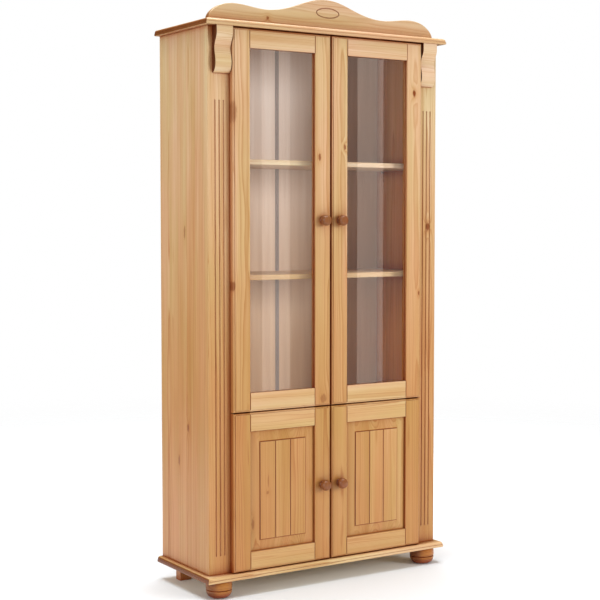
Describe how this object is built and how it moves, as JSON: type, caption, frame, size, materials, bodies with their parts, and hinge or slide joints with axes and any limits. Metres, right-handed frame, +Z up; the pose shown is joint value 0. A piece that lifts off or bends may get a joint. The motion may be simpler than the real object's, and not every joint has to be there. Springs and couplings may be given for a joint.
{
  "type": "display cabinet",
  "caption": "Tall free-standing solid pine cabinet with glazed upper doors over panelled lower doors, scalloped crown board, corbels, fluted posts and turned feet.",
  "frame": {"origin": "on the floor, at the centre of the overall width and of the overall depth, knobs included", "axes": "+Z up, +Y towards the back, +X to the right seen from the front"},
  "size_m": [0.918, 0.3702, 1.8765],
  "materials": {
    "pine_side": "clear lacquered edge-glued solid pine, satin",
    "pine_frame": "clear lacquered solid pine, upright grain, satin",
    "pine_rail": "clear lacquered solid pine, level grain, satin",
    "pine_panel": "clear lacquered solid pine, upright grain, satin",
    "pine_board": "clear lacquered solid pine boards, satin",
    "pine_turned": "clear lacquered turned pine, satin",
    "knob_wood": "brown stained turned wood, satin",
    "clear_glass": "clear float glass",
    "back_board": "pale faced fibreboard, matt",
    "strip_plastic": "grey-brown plastic joint strip",
    "hinge_steel": "nickel-plated steel",
    "screw_steel": "zinc-plated steel"
  },
  "bodies": {
    "carcass": {"side_panel_left": "pine_side", "side_panel_right": "pine_side", "pilaster_left": "pine_frame", "pilaster_right": "pine_frame", "corbel_left": "pine_rail", "corbel_right": "pine_rail", "front_foot_left": "pine_turned", "front_foot_right": "pine_turned", "rear_foot_left": "pine_turned", "rear_foot_right": "pine_turned", "back_panel_left": "back_board", "back_panel_right": "back_board", "back_joint_strip": "strip_plastic", "top_board": "pine_board", "base_board": "pine_board", "crown_board": "pine_board", "fixed_shelf": "pine_board", "front_top_rail": "pine_rail", "cupboard_shelf": "pine_board", "lower_shelf": "pine_board", "upper_shelf": "pine_board", "shelf_pins": "screw_steel", "hinge_arms_left": "hinge_steel", "hinge_arms_right": "hinge_steel", "hinge_screws": "screw_steel"},
    "upper_left_door": {"upper_meeting_stile_left": "pine_frame", "upper_hinge_stile_left": "pine_frame", "upper_bottom_rail_left": "pine_rail", "upper_top_rail_left": "pine_rail", "upper_glass_left": "clear_glass", "upper_glazing_beads_left": "pine_rail", "upper_knob_left": "knob_wood", "upper_knob_screw_left": "screw_steel", "upper_hinge_cups_left": "hinge_steel"},
    "upper_right_door": {"upper_meeting_stile_right": "pine_frame", "upper_hinge_stile_right": "pine_frame", "upper_bottom_rail_right": "pine_rail", "upper_top_rail_right": "pine_rail", "upper_glass_right": "clear_glass", "upper_glazing_beads_right": "pine_rail", "upper_knob_right": "knob_wood", "upper_knob_screw_right": "screw_steel", "upper_hinge_cups_right": "hinge_steel"},
    "lower_left_door": {"lower_meeting_stile_left": "pine_frame", "lower_hinge_stile_left": "pine_frame", "lower_bottom_rail_left": "pine_rail", "lower_top_rail_left": "pine_rail", "lower_raised_panel_left": "pine_panel", "lower_knob_left": "knob_wood", "lower_knob_screw_left": "screw_steel", "lower_hinge_cups_left": "hinge_steel"},
    "lower_right_door": {"lower_meeting_stile_right": "pine_frame", "lower_hinge_stile_right": "pine_frame", "lower_bottom_rail_right": "pine_rail", "lower_top_rail_right": "pine_rail", "lower_raised_panel_right": "pine_panel", "lower_knob_right": "knob_wood", "lower_knob_screw_right": "screw_steel", "lower_hinge_cups_right": "hinge_steel"}
  },
  "joints": [
    {"name": "upper_left_door_hinge", "type": "hinge", "parent": "carcass", "child": "upper_left_door", "pos_m": [-0.359, -0.1471, 1.17], "axis": [0, 0, -1], "range_deg": [0, 95]},
    {"name": "upper_right_door_hinge", "type": "hinge", "parent": "carcass", "child": "upper_right_door", "pos_m": [0.359, -0.1471, 1.17], "axis": [0, 0, 1], "range_deg": [0, 95]},
    {"name": "lower_left_door_hinge", "type": "hinge", "parent": "carcass", "child": "lower_left_door", "pos_m": [-0.359, -0.1471, 0.325], "axis": [0, 0, -1], "range_deg": [0, 95]},
    {"name": "lower_right_door_hinge", "type": "hinge", "parent": "carcass", "child": "lower_right_door", "pos_m": [0.359, -0.1471, 0.325], "axis": [0, 0, 1], "range_deg": [0, 95]}
  ]
}
